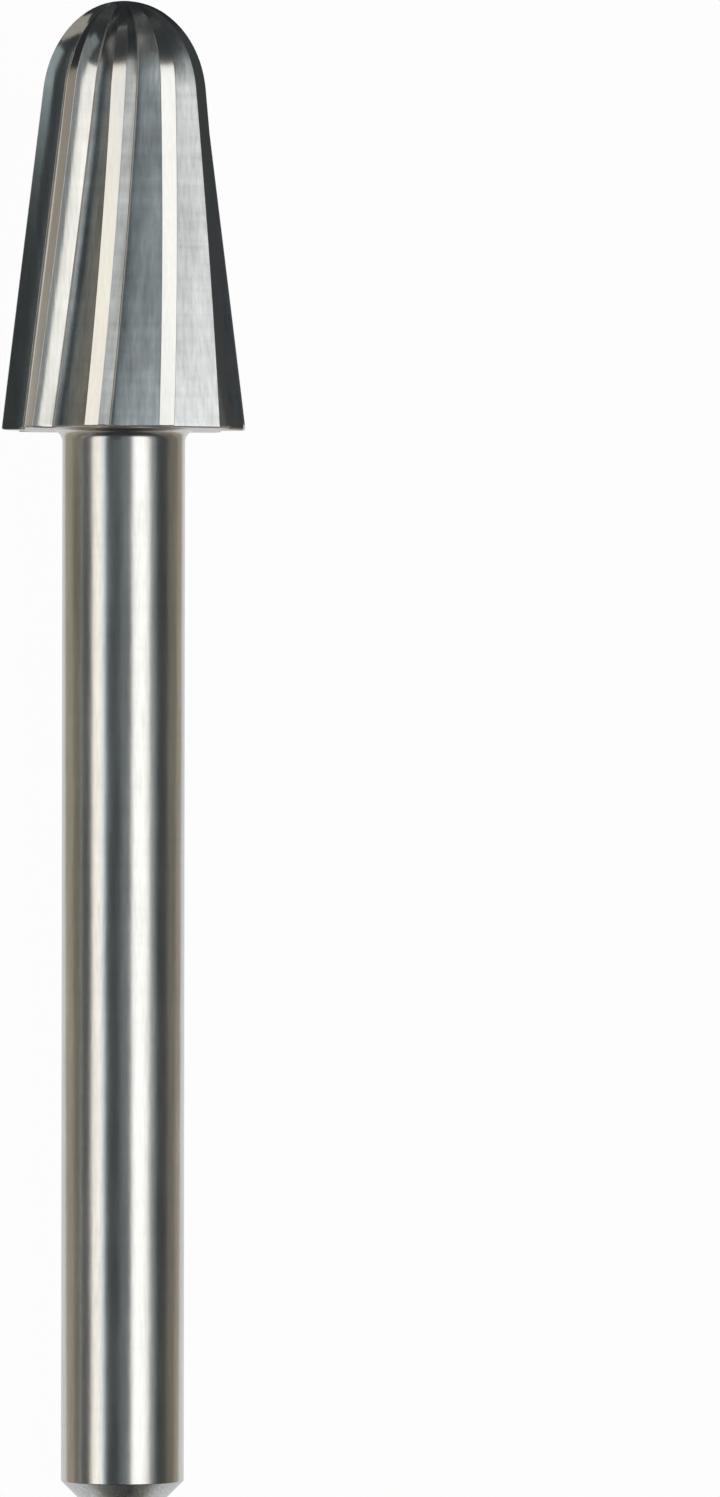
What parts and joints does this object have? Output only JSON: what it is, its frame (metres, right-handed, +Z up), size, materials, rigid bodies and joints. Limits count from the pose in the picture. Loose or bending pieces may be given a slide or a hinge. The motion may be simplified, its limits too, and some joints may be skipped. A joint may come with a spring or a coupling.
{
  "type": "rotary carving bit",
  "caption": "Solid steel carving bit: a plain round shank for a collet and a tapered, round-nosed head ground with long helical flutes.",
  "frame": {"origin": "bottom centre of the bit's box as it lies at rest, on one tooth's cutting edge, the land of the next and the shank's end rim", "axes": "+Z up, +Y level towards the head's tip, so the bit's own axis rises by about three degrees towards the tip"},
  "size_m": [0.0064, 0.039, 0.0061],
  "materials": {
    "tool_steel": "ground, with bright cutting lands and satin tooth backs"
  },
  "bodies": {
    "root": {"carving_bit": "tool_steel"}
  },
  "joints": []
}
